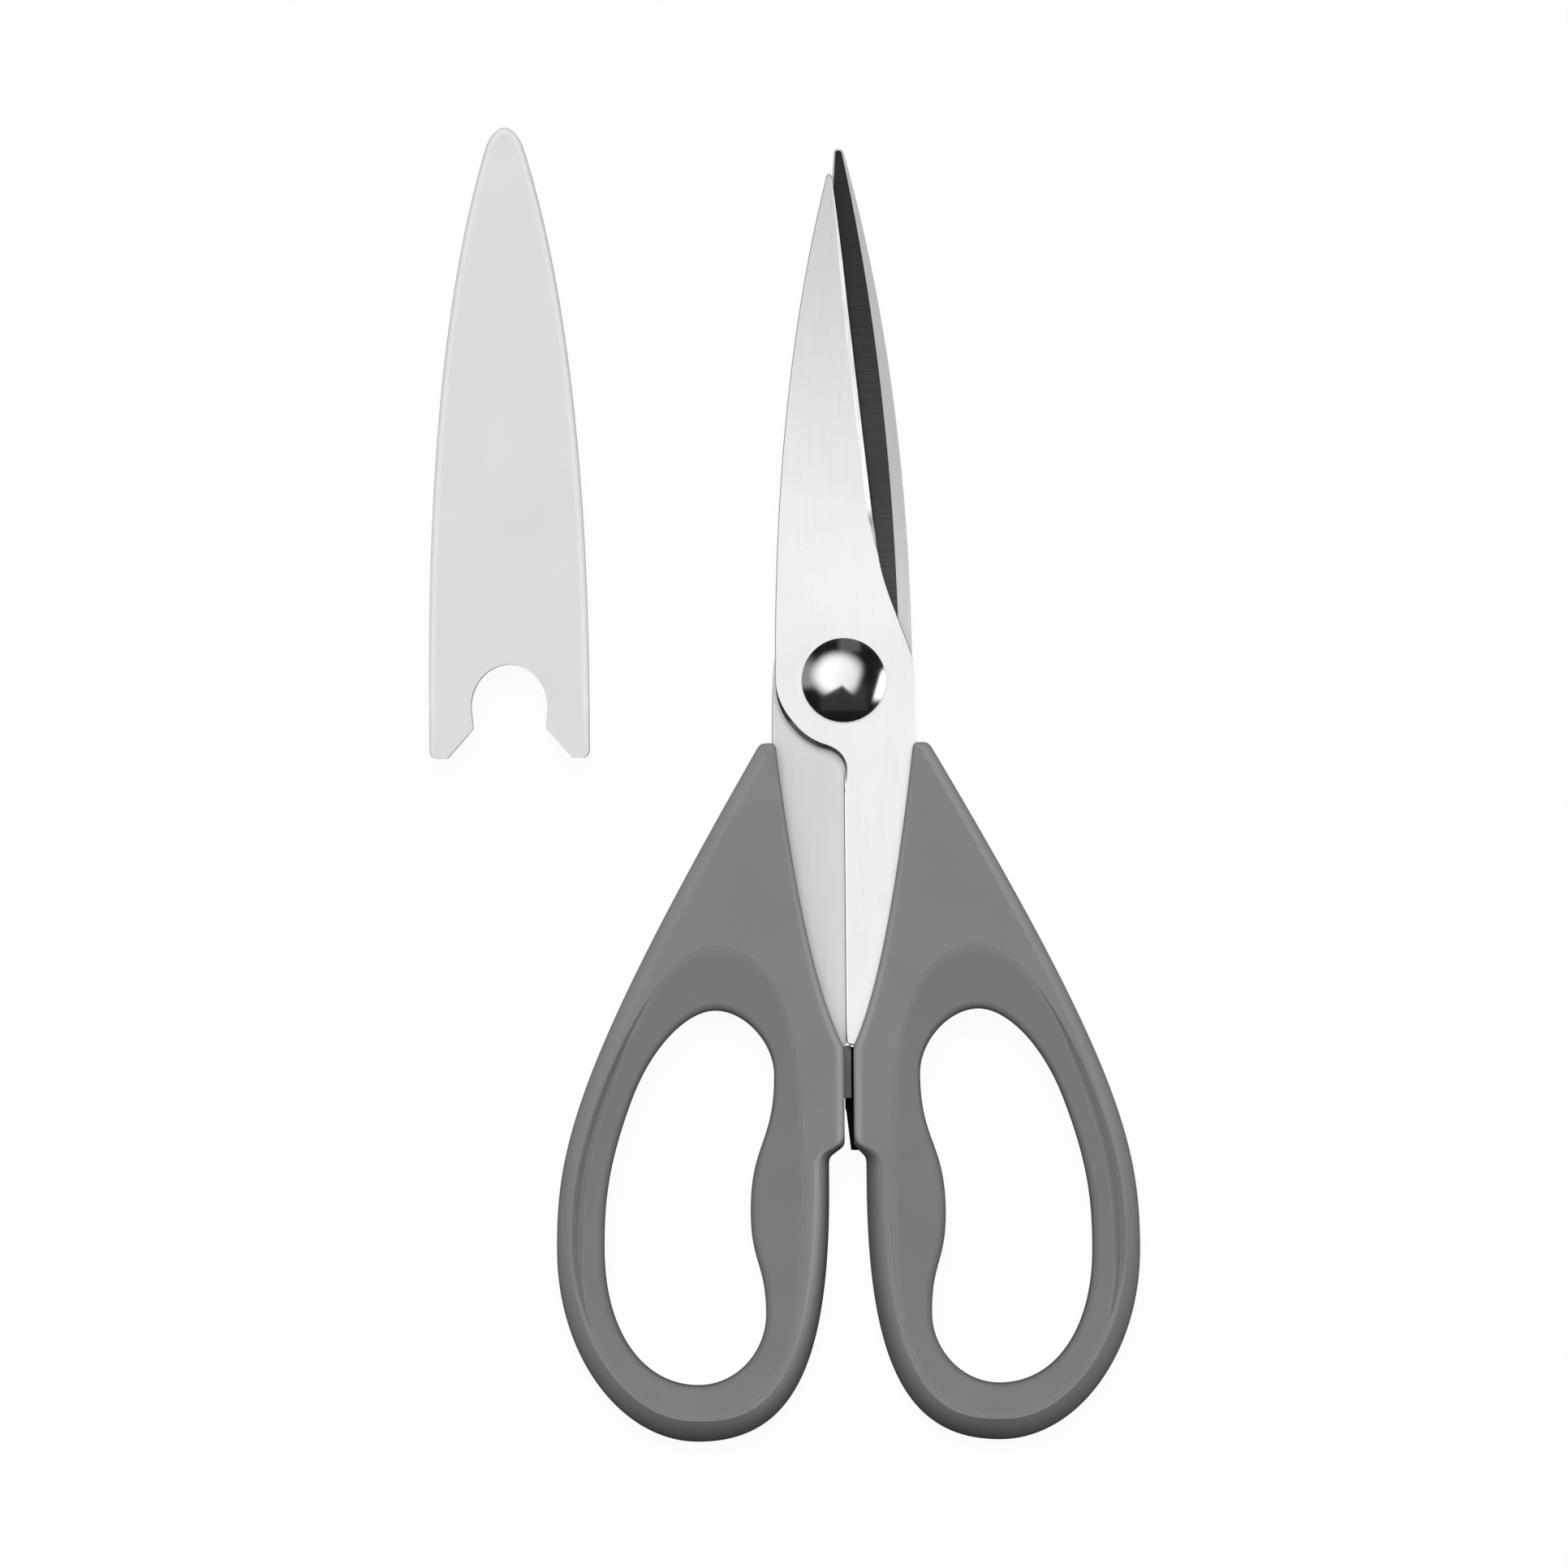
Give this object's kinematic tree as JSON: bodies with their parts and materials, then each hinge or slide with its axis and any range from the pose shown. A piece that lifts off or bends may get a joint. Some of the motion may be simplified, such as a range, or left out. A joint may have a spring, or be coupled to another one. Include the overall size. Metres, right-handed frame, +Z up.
{
  "type": "kitchen shears",
  "caption": "Multipurpose kitchen shears with pointed steel blades on a domed pivot, soft-lined finger bows and a slip-on blade sheath lying beside them.",
  "frame": {"origin": "on the pivot's axis, at the flat back of the pivot cap, which lies on the table", "axes": "+X across the shears to the right-hand bow, +Y from the pivot to the blade tips, +Z up out of the table through the rivet's dome"},
  "size_m": [0.1209, 0.2254, 0.0111],
  "materials": {
    "blade_steel": "pale satin, finely brushed",
    "pivot_steel": "polished",
    "spring_steel": "plain spring steel",
    "spacer_nylon": "natural nylon",
    "handle_plastic": "fine matte moulded grey",
    "grip_rubber": "soft-touch matte grey",
    "sheath_plastic": "pale frosted, slightly see-through"
  },
  "bodies": {
    "pivot": {"pivot_rivet": "pivot_steel", "pivot_cap": "pivot_steel", "spring_washer": "spring_steel", "blade_spacer": "spacer_nylon"},
    "front_half": {"front_blade": "blade_steel", "right_handle": "handle_plastic", "right_grip": "grip_rubber"},
    "back_half": {"back_blade": "blade_steel", "left_handle": "handle_plastic", "left_grip": "grip_rubber"},
    "sheath": {"blade_sheath": "sheath_plastic"}
  },
  "joints": [
    {"name": "front_open", "type": "hinge", "parent": "pivot", "child": "front_half", "pos_m": [0, 0, 0], "axis": [0, 0, 1], "range_deg": [0, 33]},
    {"name": "back_open", "type": "hinge", "parent": "pivot", "child": "back_half", "pos_m": [0, 0, 0], "axis": [0, 0, 1], "range_deg": [-33, 0]},
    {"name": "sheath_slide", "type": "slide", "parent": "pivot", "child": "sheath", "axis": [0, 1, 0], "range_m": [0, 0.11]}
  ],
  "couplings": [
    {"joint": "back_open", "follows": "front_open", "ratio": -1}
  ]
}
